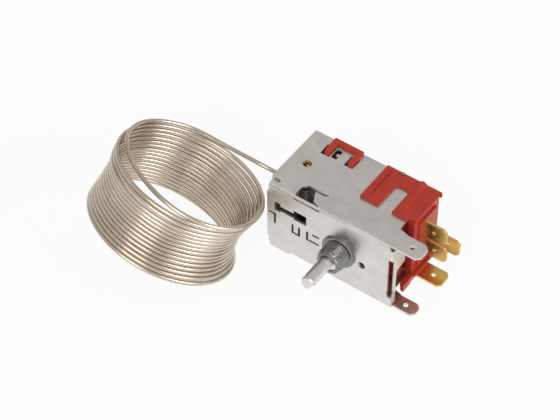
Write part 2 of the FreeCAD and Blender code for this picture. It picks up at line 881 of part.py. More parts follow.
def make_spindle():
    """A D spindle: the flat faces the side that flat_angle gives, measured from +X towards +Z."""
    body = make_body("spindle")
    radius = S.spindle_radius
    bevel = S.spindle_chamfer
    groove = S.sheet_thick + S.bush_rivet_thick + S.clip_groove - S.clip_thick
    core = radius - S.clip_groove
    turn(body, "Turned", [
        (0, -S.spindle_reach), (radius - bevel, -S.spindle_reach), (radius, bevel - S.spindle_reach),
        (radius, groove), (core, groove), (core, groove + S.clip_thick),
        (radius, groove + S.clip_thick), (radius, S.spindle_inside), (0, S.spindle_inside),
    ])
    facing = math.radians(float(S.flat_angle))
    across = (-math.sin(facing), math.cos(facing))
    out = (math.cos(facing), math.sin(facing))
    near = radius - S.flat_depth
    far = radius * 2
    corners = []
    for along, side in ((near, -1), (far, -1), (far, 1), (near, 1)):
        x = along * out[0] + far * (side * across[0])
        z = along * out[1] + far * (side * across[1])
        corners.append((x, z))
    cut(body, "Flat", "XZ_Plane", -S.spindle_reach - 1, S.flat_long + 1, [corners])
    return body


def make_spindle_clip():
    """Retaining ring in the spindle's groove, open on one side."""
    body = make_body("spindle_clip")
    groove = S.sheet_thick + S.bush_rivet_thick + S.clip_groove - S.clip_thick
    core = S.spindle_radius - S.clip_groove
    add(body, "Ring", "XZ_Plane", groove, S.clip_thick, circles=[((0, 0), S.clip_radius), ((0, 0), core)])
    cut(body, "Mouth", "XZ_Plane", groove, S.clip_thick, [
        rectangle(-core * CLIP_MOUTH, core * CLIP_MOUTH, -S.clip_radius - 1, 0)])
    return body


def cam_point(share):
    """A point of the cam's edge; share runs from 0 at its low end to 1 at its high end."""
    lead = float(S.cam_dwell_angle)
    span = float(S.cam_turn_angle)
    sweep = share * (span + 2 * lead) - lead
    radius = float(S.cam_low) + float(S.cam_rise) * min(max(sweep, 0), span) / span
    angle = math.radians(90 + sweep)
    return FreeCAD.Vector(radius * math.cos(angle), float(S.cam_front), radius * math.sin(angle))


def make_cam():
    """A spiral cam: its radius grows evenly over the spindle's turn, then falls back on a straight step."""
    arcs = 6
    edges = []
    for index in range(arcs):
        shares = [(index + part) / arcs for part in (0, 0.5, 1)]
        edges.append(Part.Arc(*[cam_point(share) for share in shares]).toShape())
    edges.append(Part.LineSegment(cam_point(1), cam_point(0)).toShape())
    face = Part.Face(Part.Wire(edges))
    thick = float(S.cam_thick)
    solid = face.extrude(FreeCAD.Vector(0, thick, 0))
    start = FreeCAD.Vector(0, float(S.cam_front), 0)
    bore = Part.makeCylinder(float(S.spindle_radius), thick, start, FreeCAD.Vector(0, 1, 0))
    return make_feature("cam", solid.cut(bore))


# Follower and range screw

PLATE_Z = S.follower_z
FOLLOWER_TOP = PLATE_Z + S.follower_thick


def make_follower():
    body = make_body("follower_lever")
    arm_left = FOLLOWER_X + S.ear_wide / 2 + S.housing_clear
    nose_left = -S.nose_thick / 2
    nose_front = S.cam_front + S.nose_in
    nose_back = S.cam_front + S.cam_thick - S.nose_in
    add(body, "Plate", "XY_Plane", PLATE_Z, S.follower_thick, [[
        (FOLLOWER_LEFT, S.follower_front + 2), (FOLLOWER_X, S.follower_front), (arm_left, S.follower_front),
        (arm_left, nose_front), (S.nose_thick / 2, nose_front), (S.nose_thick / 2, nose_back),
        (arm_left + 2, nose_back), (arm_left, S.follower_back),
        (FOLLOWER_LEFT, S.follower_back),
    ]], [((SCREW_X, S.screw_y), S.screw_radius)])
    start = S.ear_front + S.sheet_thick + S.end_play
    barrel_long = S.channel_deep - S.sheet_thick - S.end_play - start
    pivot = (FOLLOWER_X, S.follower_z)
    add(body, "Barrel", "XZ_Plane", start, barrel_long, circles=[(pivot, S.barrel_radius)])
    cut(body, "Eye", "XZ_Plane", start, barrel_long, circles=[(pivot, S.pin_radius + S.pin_fit)])
    low = S.cam_low + S.nose_gap
    add(body, "Nose", "XY_Plane", low, PLATE_Z - low + S.follower_thick / 2, [
        rectangle(nose_left, nose_left + S.nose_thick, nose_front, nose_back)])
    return body


def make_pin(name, front, back, x, z):
    return cylinder(name, S.pin_radius, back - front, (x, front, z), "Y")


def make_range_screw():
    body = make_body("range_screw")
    place = (SCREW_X, S.screw_y)
    low = FOLLOWER_TOP - S.screw_long
    add(body, "Shank", "XY_Plane", low, S.screw_long, circles=[(place, S.screw_radius)])
    add(body, "Head", "XY_Plane", FOLLOWER_TOP, S.screw_head_thick, circles=[(place, S.screw_head_radius)])
    half = S.screw_slot_wide / 2
    side = S.screw_head_radius + 1
    cut(body, "Slot", "XY_Plane", FOLLOWER_TOP + S.screw_head_thick - S.screw_slot_deep, S.screw_slot_deep, [
        rectangle(SCREW_X - side, SCREW_X + side, S.screw_y - half, S.screw_y + half)])
    return body


SPRING_INNER = S.spring_radius - S.spring_wire / 2
ANCHOR_LOW = S.lever_z + S.barrel_radius
SPRING_TOP = FOLLOWER_TOP - S.screw_long + S.plug_long
SPRING_LOW = ANCHOR_LOW + S.anchor_lip


def make_spring_plug():
    """The plug that the screw turns in, inside the spring's upper coils."""
    body = make_body("spring_plug")
    low = FOLLOWER_TOP - S.screw_long
    add(body, "Plug", "XY_Plane", low, S.plug_long, circles=[
        ((SCREW_X, S.screw_y), SPRING_INNER), ((SCREW_X, S.screw_y), S.screw_radius)])
    return body


def make_spring_anchor():
    return cylinder("spring_anchor", SPRING_INNER, S.anchor_long, (SCREW_X, S.screw_y, ANCHOR_LOW))


def make_spring():
    """The close-wound main spring as a sleeve of its outer and inner size; its coils touch each other."""
    body = make_body("main_spring")
    centre = (SCREW_X, S.screw_y)
    outer = S.spring_radius + S.spring_wire / 2
    inner = SPRING_INNER + S.spring_fit
    add(body, "Coils", "XY_Plane", SPRING_LOW, SPRING_TOP - SPRING_LOW,
        circles=[(centre, outer), (centre, inner)])
    return body


# Main lever

FOOT_Z = ANCHOR_LOW - S.lever_thick
LEVER_FACE = LEVER_X - S.barrel_radius - S.lever_thick / 2


def make_main_lever():
    """An L of sheet: the upright faces the power element, the foot reaches under the push pin."""
    body = make_body("main_lever")
    thick = S.lever_thick
    root = SCREW_X + S.spring_radius * 2
    add(body, "Upright", "YZ_Plane", LEVER_FACE, thick, [[
        (S.lever_front, S.lever_z), (S.lever_back, S.lever_z), (S.lever_back, S.lever_up - 1),
        (S.lever_back - 1, S.lever_up), (S.lever_front + 1, S.lever_up), (S.lever_front, S.lever_up - 1),
    ]])
    add(body, "Foot", "XY_Plane", FOOT_Z, thick, [[
        (LEVER_FACE, S.lever_front), (root, S.lever_front), (root + 3, S.foot_front),
        (PUSH_X + S.lever_beyond, S.foot_front), (PUSH_X + S.lever_beyond, S.foot_back),
        (root + 3, S.foot_back),
        (root, S.lever_back), (LEVER_FACE, S.lever_back),
    ]])
    start = S.lever_ear_front + S.sheet_thick + S.end_play
    barrel_long = S.lever_ear_back - S.sheet_thick - S.end_play - start
    pivot = (LEVER_X, S.lever_z)
    add(body, "Barrel", "XZ_Plane", start, barrel_long, circles=[(pivot, S.barrel_radius)])
    cut(body, "Eye", "XZ_Plane", start, barrel_long, circles=[(pivot, S.pin_radius + S.pin_fit)])
    return body


# Contact system

BLADE_LOW = S.blade_z - S.blade_thick / 2
BLADE_TOP = S.blade_z + S.blade_thick / 2
CONTACT_TOP = S.blade_z + S.contact_thick / 2 + S.rivet_thick
CONTACT_LOW = S.blade_z - S.contact_thick / 2 - S.rivet_thick
UPPER_LEG_Z = CONTACT_TOP + S.contact_open + S.rivet_thick
LOWER_LEG_Z = CONTACT_LOW - S.contact_travel - S.rivet_thick - S.brass_thick


def make_push_pin():
    """The insulating pin between the lever's foot and the blade, with a narrow tip."""
    low = ANCHOR_LOW + S.touch_gap
    tip = S.push_radius
    high = BLADE_LOW - S.touch_gap - tip
    stem = cylinder("PinStem", S.push_radius, high - low, (PUSH_X, S.push_y, low))
    end = cylinder("PinTip", S.push_tip, tip, (PUSH_X, S.push_y, high))
    return fuse("push_pin", [stem, end])


def make_blade():
    body = make_body("contact_blade")
    middle = (BLADE_FRONT + BLADE_BACK) / 2
    add(body, "Strip", "XY_Plane", BLADE_LOW, S.blade_thick, [[
        (BLADE_LEFT, BLADE_FRONT + S.blade_corner), (BLADE_LEFT + S.blade_corner, BLADE_FRONT),
        (BLADE_HINGE, BLADE_FRONT), (BLADE_HINGE, BLADE_BACK),
        (BLADE_LEFT + S.blade_corner, BLADE_BACK), (BLADE_LEFT, BLADE_BACK - S.blade_corner),
    ]], [((CONTACT_X, middle), S.contact_radius * STEM_SHARE)])
    return body


def make_moving_contact():
    middle = (BLADE_FRONT + BLADE_BACK) / 2
    stem = cylinder("ContactStem", S.contact_radius * STEM_SHARE, CONTACT_TOP - CONTACT_LOW,
                    (CONTACT_X, middle, CONTACT_LOW))
    upper = cylinder("ContactUpper", S.contact_radius, CONTACT_TOP - BLADE_TOP,
                     (CONTACT_X, middle, BLADE_TOP))
    lower = cylinder("ContactLower", S.contact_radius, BLADE_LOW - CONTACT_LOW,
                     (CONTACT_X, middle, CONTACT_LOW))
    return fuse("moving_contact", [stem, upper, lower])


def make_blade_root():
    body = make_body("blade_root")
    start = BLADE_HINGE + S.blade_gap
    add(body, "Root", "XY_Plane", BLADE_LOW, S.blade_thick, [
        rectangle(start, start + S.root_long, BLADE_FRONT, BLADE_BACK)])
    return body


def make_bow():
    """The bow spring that throws the blade over, standing on the blade's top side."""
    outer = float(S.bow_radius)
    inner = outer - float(S.bow_thick)
    front = float(BLADE_FRONT + S.bow_side)
    wide = float(BLADE_BACK - BLADE_FRONT - S.bow_side * 2)
    centre = FreeCAD.Vector(float(BLADE_LEFT + S.bow_in), front, float(BLADE_TOP))
    points = []
    for radius in (outer, inner):
        points.append([centre + FreeCAD.Vector(radius * math.cos(a), 0, radius * math.sin(a))
                       for a in (0, math.pi / 2, math.pi)])
    rim, bore = points
    edges = [
        Part.Arc(*rim).toShape(),
        Part.LineSegment(rim[2], bore[2]).toShape(),
        Part.Arc(*bore).toShape(),
        Part.LineSegment(bore[0], rim[0]).toShape(),
    ]
    face = Part.Face(Part.Wire(Part.__sortEdges__(edges)))
    return make_feature("snap_spring", face.extrude(FreeCAD.Vector(0, wide, 0)))


def fixed_contact(name, low):
    middle = (BLADE_FRONT + BLADE_BACK) / 2
    return cylinder(name, S.rivet_radius, S.rivet_thick, (CONTACT_X, middle, low))


# Terminals

def upright_tab(body, reach, z, y, root):
    """A push-on tab that stands on edge, with bevelled tip corners and its hole."""
    half = S.brass_wide / 2
    bevel = S.brass_chamfer
    front = y - S.brass_thick / 2
    add(body, "Tab", "XZ_Plane", front, S.brass_thick, [[
        (root, z - half), (reach - bevel, z - half), (reach, z - half + bevel),
        (reach, z + half - bevel), (reach - bevel, z + half), (root, z + half),
    ]], [((reach - S.brass_hole_back, z), S.brass_hole / 2)])


def make_upper_terminal():
    """Upper tab; its inner leg drops to the contact above the blade."""
    body = make_body("terminal_upper")
    front = S.brass_y - S.brass_thick / 2
    right = CONTACT_X + S.contact_radius
    upright_tab(body, BOSS_RIGHT + S.upper_long, S.upper_z, S.brass_y, CHAMBER_RIGHT)
    left = BLADE_LEFT
    leg_low = UPPER_LEG_Z
    arm_low = S.upper_z - S.brass_wide / 2
    arm_high = CHAMBER_TOP - S.housing_clear
    add(body, "Leg", "XZ_Plane", front, S.brass_thick, [[
        (left, leg_low), (right, leg_low), (right, arm_low), (CHAMBER_RIGHT, arm_low),
        (CHAMBER_RIGHT, arm_high), (left, arm_high),
    ]])
    add(body, "Foot", "XY_Plane", leg_low, S.brass_thick, [
        rectangle(left, right, BLADE_FRONT, front + S.brass_thick / 2)])
    return body


def make_common_terminal():
    """Middle tab; its inner leg is folded forward over the root of the blade."""
    body = make_body("terminal_common")
    front = S.brass_y - S.brass_thick / 2
    half = S.brass_wide / 2
    left = BLADE_HINGE + S.blade_gap
    upright_tab(body, BOSS_RIGHT + S.common_long, S.common_z, S.brass_y, left)
    add(body, "Leg", "XZ_Plane", front, S.brass_thick, [
        rectangle(left, left + S.root_long, BLADE_TOP, S.common_z - half + 0.5)])
    add(body, "Foot", "XY_Plane", BLADE_TOP, S.brass_thick, [
        rectangle(left, left + S.root_long, BLADE_FRONT, front + S.brass_thick / 2)])
    return body


def make_rear_terminal():
    body = make_body("terminal_rear")
    upright_tab(body, BOSS_RIGHT + S.rear_long, S.rear_z, S.rear_y, BLADE_HINGE)
    return body


def make_lower_terminal():
    """Lower tab, lying flat; its inner leg climbs behind the lever to the contact under the blade."""
    body = make_body("terminal_lower")
    low = S.lower_z - S.brass_thick / 2
    half = S.brass_wide / 2
    bevel = S.brass_chamfer
    right = CONTACT_X + S.contact_radius
    left = BLADE_LEFT
    back = S.brass_y + half
    reach = BOSS_RIGHT + S.lower_long
    inner = BLADE_HINGE
    step = back - S.lower_step
    add(body, "Tab", "XY_Plane", low, S.brass_thick, [[
        (left, step), (inner, step), (inner + bevel, S.brass_y - half), (reach - bevel, S.brass_y - half),
        (reach, S.brass_y - half + bevel), (reach, back - bevel), (reach - bevel, back), (left, back),
    ]], [((reach - S.brass_hole_back, S.brass_y), S.brass_hole / 2)])
    add(body, "Riser", "XZ_Plane", step, S.brass_thick, [
        rectangle(left, right, low, LOWER_LEG_Z + S.brass_thick)])
    add(body, "Foot", "XY_Plane", LOWER_LEG_Z, S.brass_thick, [
        rectangle(left, right, BLADE_FRONT, step + S.brass_thick / 2)])
    return body


# Moulded housing

def terminal_slots():
    """The four slots that the terminals pass through, as outlines across X."""
    half = S.brass_wide / 2
    thin = S.brass_thick / 2
    slots = []
    for y, z in ((S.brass_y, S.upper_z), (S.brass_y, S.common_z), (S.rear_y, S.rear_z)):
        slots.append(rectangle(y - thin, y + thin, z - half, z + half))
    slots.append(rectangle(S.brass_y - half, S.brass_y + half, S.lower_z - thin, S.lower_z + thin))
    return slots


def housing_box(body):
    """The box between the plates; a groove parts it from the terminal carrier at its right."""
    back = S.channel_deep - S.back_wall
    left = GROOVE_RIGHT - S.groove_wide
    add(body, "Box", "XY_Plane", -HOUSING_HIGH, HOUSING_HIGH * 2, [[
        (HOUSING_LEFT, S.housing_front), (left, S.housing_front), (left, S.housing_front + S.groove_deep),
        (GROOVE_RIGHT, S.housing_front + S.groove_deep), (GROOVE_RIGHT, S.carrier_front),
        (CARRIER_RIGHT, S.carrier_front), (CARRIER_RIGHT, back), (HOUSING_LEFT, back),
    ]])
    add(body, "Carrier", "XY_Plane", 0, TOP, [rectangle(GROOVE_RIGHT, CARRIER_RIGHT, S.carrier_front, back)])
    corners = [(HOUSING_LEFT, S.housing_front), (left, S.housing_front), (CARRIER_RIGHT, S.carrier_front)]
    dress(body, "Fillet", "BoxCorners", 2, S.housing_wall / 2, corners)
    sill = S.lower_z - S.brass_thick / 2 - S.carrier_sill
    cut(body, "UnderCarrier", "XZ_Plane", S.carrier_front - 1, S.channel_deep, [
        rectangle(GROOVE_RIGHT, CARRIER_RIGHT + 1, -HOUSING_HIGH - 1, sill)])


def housing_outside(body):
    """Back wall, terminal boss with its lip, and the lug that points forward under the earth tab."""
    back = S.channel_deep - S.back_wall
    add(body, "BackWall", "XZ_Plane", back, S.back_wall, [
        rectangle(HOUSING_LEFT, GROOVE_RIGHT + S.housing_wall / 2, -HOUSING_HIGH, TOP)])
    boss_back = S.rear_y + S.boss_behind
    add(body, "Boss", "XY_Plane", -S.boss_low, S.boss_low + S.boss_high, [
        rectangle(CARRIER_RIGHT - 1, BOSS_RIGHT, S.boss_front, boss_back)])
    dress(body, "Fillet", "BossCorners", 2, S.housing_wall / 4, [(BOSS_RIGHT, S.boss_front)])
    lip = S.lower_z + S.brass_thick / 2
    add(body, "Lip", "XY_Plane", lip, S.lip_high, [
        rectangle(CARRIER_RIGHT - 1, CARRIER_RIGHT + S.lip_beyond, S.carrier_front, boss_back)])
    right = CARRIER_RIGHT + S.housing_clear
    add(body, "Lug", "XY_Plane", -S.lug_low, S.lug_high, [[
        (right - S.lug_wide, S.lug_front + S.lug_wide / 2), (right - S.lug_wide / 2, S.lug_front),
        (right, S.lug_front), (right, S.lip_front), (CARRIER_RIGHT, S.carrier_front),
        (CARRIER_RIGHT, S.boss_front), (right - S.lug_wide, S.boss_front),
    ]])


def housing_fingers(body):
    """The two fingers over the top plate, the bar that joins them and the roof of the terminal carrier."""
    left_end = HOUSING_LEFT + S.finger_wide
    right_start = left_end + S.finger_gap
    bar = S.finger_bar_front
    tip = CARRIER_RIGHT + S.tip_beyond
    back = S.channel_deep
    add(body, "Fingers", "XY_Plane", TOP, S.finger_thick, [[
        (HOUSING_LEFT, S.finger_front), (left_end, S.finger_front), (left_end, bar), (right_start, bar),
        (right_start, S.finger_front), (S.plate_reach, S.finger_front),
        (GROOVE_RIGHT, S.carrier_front), (CARRIER_RIGHT, S.carrier_front),
        (CARRIER_RIGHT, back - S.tip_deep), (tip, back - S.tip_deep), (tip, back - S.tip_deep / 2),
        (CARRIER_RIGHT, back), (HOUSING_LEFT, back),
    ]])
    dress(body, "Fillet", "FingerRoots", 2, S.finger_round, [(left_end, bar), (right_start, bar)])
    groove = HOUSING_LEFT + S.finger_groove_in
    cut(body, "FingerGroove", "XY_Plane", TOP + S.finger_thick - S.finger_groove_deep, S.finger_groove_deep, [
        rectangle(groove, groove + S.finger_groove_wide, S.finger_groove_front, back - S.back_wall)])


def finger_rib(body):
    """A low ridge on the right finger that rises towards the back edge to a point."""
    rib = body.newObject("PartDesign::AdditiveWedge", "FingerRib")
    left = HOUSING_LEFT + S.rib_in
    right = left + S.rib_wide
    middle = left + S.rib_wide / 2
    back = S.channel_deep
    limits = {
        "Xmin": left, "Xmax": right, "X2min": middle, "X2max": middle,
        "Ymin": 0, "Ymax": S.rib_high,
        "Zmin": -back, "Zmax": -S.rib_front, "Z2min": -back, "Z2max": -back,
    }
    for prop, size in limits.items():
        bind(rib, prop, size)
    rib.AttachmentSupport = [(origin_plane(body, "XY_Plane"), "")]
    rib.MapMode = "FlatFace"
    rib.AttachmentOffset = FreeCAD.Placement(FreeCAD.Vector(), FreeCAD.Rotation(FreeCAD.Vector(1, 0, 0), 90))
    bind(rib, "AttachmentOffset.Base.z", TOP + S.finger_thick)
    doc.recompute()


def housing_inside(body):
    """The switch chamber, open towards the levers, with the web that guides the push pin."""
    wall = S.housing_wall
    front = CHAMBER_FRONT
    start = HOUSING_LEFT - 1
    cut(body, "Chamber", "YZ_Plane", start, CHAMBER_RIGHT - start, [
        rectangle(front, CHAMBER_BACK, -CHAMBER_TOP, CHAMBER_TOP)])
    through = BOSS_RIGHT + S.lip_beyond - CHAMBER_RIGHT + 2
    cut(body, "Slots", "YZ_Plane", CHAMBER_RIGHT - 1, through, terminal_slots())
    web_left = CONTACT_X + S.contact_radius + 1
    web_low = ANCHOR_LOW + S.lever_thick * 2
    overlap = wall / 2
    add(body, "Web", "XY_Plane", web_low, wall, [
        rectangle(web_left, CHAMBER_RIGHT + overlap, front - overlap, S.foot_back)],
        [((PUSH_X, S.push_y), S.push_radius + S.pin_fit)])
    pin = (BACK_PIN_X, S.channel_deep - S.back_wall / 2)
    low = TOP + S.finger_thick - S.back_pin_long
    cut(body, "PinHole", "XY_Plane", low, S.back_pin_long, circles=[(pin, S.back_pin_radius)])


def make_housing():
    body = make_body("switch_housing")
    housing_box(body)
    housing_outside(body)
    housing_fingers(body)
    housing_inside(body)
    finger_rib(body)
    return body


def make_back_clip():
    """A U on the top plate; its bar lies flat and its two legs slope down through their slots."""
    body = make_body("back_clip")
    front = S.clip_leg_front
    bar = S.clip_bar_front
    back = S.channel_deep
    high = TOP + S.clip_high
    add(body, "Bar", "XY_Plane", TOP, S.clip_high, [rectangle(CLIP_LEFT, CLIP_RIGHT, bar, back)])
    slot_back = S.leg_slot_front + S.leg_slot_long - S.housing_clear
    thick = S.clip_leg_thick
    for name, start in (("LeftLeg", CLIP_LEFT), ("RightLeg", CLIP_RIGHT - S.clip_leg_wide)):
        add(body, name, "YZ_Plane", start, S.clip_leg_wide, [[
            (bar + S.clip_round, TOP), (bar + S.clip_round, high), (bar, high),
            (front + thick, TOP + S.clip_round), (front, TOP - S.clip_round),
            (front, TOP - S.clip_leg_down), (front + thick, TOP - S.clip_leg_down),
            (front + thick, INNER_TOP - S.clip_round), (slot_back, TOP),
        ]])
    inner = [(CLIP_LEFT + S.clip_leg_wide, bar), (CLIP_RIGHT - S.clip_leg_wide, bar)]
    outer = [(CLIP_LEFT, back), (CLIP_RIGHT, back)]
    dress(body, "Fillet", "ClipCorners", 2, S.clip_round / 2, outer)
    return body


def make_back_pin():
    """Steel pin that stands in the bar of the red housing."""
    y = S.channel_deep - S.back_wall / 2
    low = TOP + S.finger_thick - S.back_pin_long
    return cylinder("back_pin", S.back_pin_radius, S.back_pin_long + S.back_pin_sunk, (BACK_PIN_X, y, low))


# Capillary

def coil_axes():
    """The coil's axis and a direction across it, from its lean and bearing."""
    lean = math.radians(float(S.coil_lean_angle))
    bearing = math.radians(float(S.coil_bearing_angle))
    flat = math.sin(lean)
    return FreeCAD.Vector(flat * math.cos(bearing), flat * math.sin(bearing), math.cos(lean))


def coil_foot():
    """The middle of the lowest turn, so high that the coil's lowest edge lies level with the channel."""
    lean = math.radians(float(S.coil_lean_angle))
    tube = float(S.capillary_radius)
    drop = (float(S.coil_radius) + tube) * math.sin(lean) + tube * math.cos(lean)
    return FreeCAD.Vector(float(S.coil_foot_x), float(S.coil_foot_y), float(BOTTOM) + drop)


def make_coil():
    """The wound stretch as one closed ring: its outer shape, half a tube outside the end turns."""
    axis = coil_axes()
    tube = float(S.capillary_radius)
    length = int(S.coil_turns.number) * float(S.coil_pitch) + 2 * tube
    start = coil_foot() - axis * tube
    outer = Part.makeCylinder(float(S.coil_radius) + tube, length, start, axis)
    inner = Part.makeCylinder(float(S.coil_radius) - tube - float(S.coil_waist), length, start, axis)
    return make_feature("capillary_coil", outer.cut(inner))


def lead_points():
    """The route of the straight stretch, from the ferrule to the top turn, chosen by hand."""
    start = (float(CUP_BACK - S.ferrule_long), float(S.element_y), float(S.element_z))
    return [FreeCAD.Vector(*point) for point in (
        start,
        (-34.6, start[1], start[2]),
        (-38.05, 12.53, 3.53),
        (-44.1, 10.32, 6.53),
        (-50.8, 7.71, 10.08),
        (-57.4, 5.0, 13.5),
    )]


def rounded_path(points):
    """Straight runs joined by tangent arcs, each as large as its two runs allow."""
    edges = []
    last = points[0]
    for before, corner, after in zip(points, points[1:], points[2:]):
        into = corner - before
        out = after - corner
        bend = into.getAngle(out)
        setback = CORNER_SHARE * min(into.Length, out.Length)
        radius = setback / math.tan(bend / 2)
        print("bend radius", round(radius, 1))
        into.normalize()
        out.normalize()
        start = corner - into * setback
        end = corner + out * setback
        inward = (out - into).normalize()
        middle = corner + inward * (radius / math.cos(bend / 2) - radius)
        edges.append(Part.LineSegment(last, start).toShape())
        edges.append(Part.Arc(start, middle, end).toShape())
        last = end
    edges.append(Part.LineSegment(last, points[-1]).toShape())
    return Part.Wire(edges)


def make_lead():
    points = lead_points()
    path = rounded_path(points)
    radius = float(S.capillary_radius)
    circle = Part.Wire(Part.Circle(points[0], points[1] - points[0], radius).toShape())
    solid = path.makePipeShell([circle], True, False)
    share = solid.Volume / (math.pi * radius**2 * path.Length)
    print("lead volume over section times length", round(share, 4))
    return make_feature("capillary_lead", solid)


def make_all():
    pieces = [make_channel(), make_end_plate(), *make_element(), make_stud()]
    pieces += [make_bush(), make_spindle(), make_spindle_clip(), make_cam()]
    pieces.append(make_follower())
    pieces.append(make_pin("follower_pin", S.ear_front, S.channel_deep, FOLLOWER_X, S.follower_z))
    pieces += [make_range_screw(), make_spring_plug(), make_spring(), make_spring_anchor()]
    pieces.append(make_main_lever())
    pieces.append(make_pin("lever_pin", S.lever_ear_front, S.lever_ear_back, LEVER_X, S.lever_z))
    pieces += [make_push_pin(), make_blade(), make_moving_contact(), make_blade_root(), make_bow()]
    pieces.append(fixed_contact("fixed_contact_upper", UPPER_LEG_Z - S.rivet_thick))
    pieces.append(fixed_contact("fixed_contact_lower", LOWER_LEG_Z + S.brass_thick))
    pieces += [make_upper_terminal(), make_common_terminal(), make_rear_terminal(), make_lower_terminal()]
    pieces += [make_housing(), make_back_clip(), make_back_pin(), make_coil(), make_lead()]
    return pieces


def check_document(pieces):
    doc.recompute()
    for item in doc.Objects:
        if "Invalid" in item.State or "Error" in item.State:
            raise RuntimeError(f"{item.Label} did not build: {item.State}")
    for piece in pieces:
        if piece.Shape.isNull() or not piece.Shape.isValid() or not piece.Shape.Solids:
            raise RuntimeError(f"{piece.Label} has no valid solid")


def write_pieces(pieces):
    os.makedirs("parts", exist_ok=True)
    for piece in pieces:
        piece.Shape.exportStep(f"parts/{piece.Label}.step")
        solids = len(piece.Shape.Solids)
        print(piece.Label, "solids", solids, "volume", round(piece.Shape.Volume, 2))


PIECES = make_all()
check_document(PIECES)
write_pieces(PIECES)
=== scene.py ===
import json
import math
import random

import bmesh
import bpy
from mathutils import Matrix, Vector


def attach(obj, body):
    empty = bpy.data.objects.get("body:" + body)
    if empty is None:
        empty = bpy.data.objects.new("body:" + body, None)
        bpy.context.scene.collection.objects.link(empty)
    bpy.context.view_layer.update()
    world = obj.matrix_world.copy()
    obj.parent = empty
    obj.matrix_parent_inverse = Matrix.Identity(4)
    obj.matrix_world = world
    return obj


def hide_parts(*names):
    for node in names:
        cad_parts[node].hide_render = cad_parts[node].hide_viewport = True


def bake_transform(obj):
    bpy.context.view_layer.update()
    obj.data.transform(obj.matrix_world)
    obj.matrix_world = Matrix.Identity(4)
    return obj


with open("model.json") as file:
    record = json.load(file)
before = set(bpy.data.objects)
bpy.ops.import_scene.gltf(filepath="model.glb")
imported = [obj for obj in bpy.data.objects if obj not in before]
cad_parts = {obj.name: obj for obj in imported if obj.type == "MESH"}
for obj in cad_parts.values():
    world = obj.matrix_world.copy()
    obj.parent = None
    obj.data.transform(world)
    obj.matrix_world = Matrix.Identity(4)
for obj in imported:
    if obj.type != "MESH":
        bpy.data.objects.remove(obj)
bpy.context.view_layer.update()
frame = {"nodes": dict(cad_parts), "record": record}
nodes = frame["nodes"]
MM = 0.001
SEAT = 0.7  # the channel's front face lies this far behind the panel's seat, in mm
FLOOR_LEVEL = -14  # the channel's underside and the lowest turn are at this height, in mm


def point(x, y, z):
    """A place measured in mm from the bush axis on the channel's front face."""
    return Vector((x * MM, (y + SEAT) * MM, z * MM))


def placed(name, data):
    """A new object of the scene, made of this data."""
    thing = bpy.data.objects.new(name, data)
    bpy.context.collection.objects.link(thing)
    return thing


def dress(thing, material):
    thing.data.materials.clear()
    thing.data.materials.append(material)


# Shader nodes

WHITE = (1.0, 1.0, 1.0, 1.0)
RELIEF_DEPTH = 0.0001
BEVEL_SAMPLES = 4
NOISE_LOW, NOISE_HIGH = 0.3, 0.7  # nearly all values of a noise lie between these
MIX_SHARE, MIX_FIRST, MIX_SECOND, MIX_RESULT = 0, 6, 7, 2  # the colour mix's sockets


class Nodes:
    """Adds nodes to a tree, and sets or links their inputs."""

    def __init__(self, tree):
        self.tree = tree

    def fill(self, node, inputs):
        """Sets each named input to its value, or links it where the value is another node's output."""
        for key, value in inputs.items():
            if isinstance(value, bpy.types.NodeSocket):
                self.tree.links.new(value, node.inputs[key])
            else:
                node.inputs[key].default_value = value
        return node

    def add(self, kind, inputs, **settings):
        node = self.tree.nodes.new(kind)
        for key, value in settings.items():
            setattr(node, key, value)
        return self.fill(node, inputs)

    def math(self, operation, first, second):
        return self.add("ShaderNodeMath", {0: first, 1: second}, operation=operation).outputs[0]


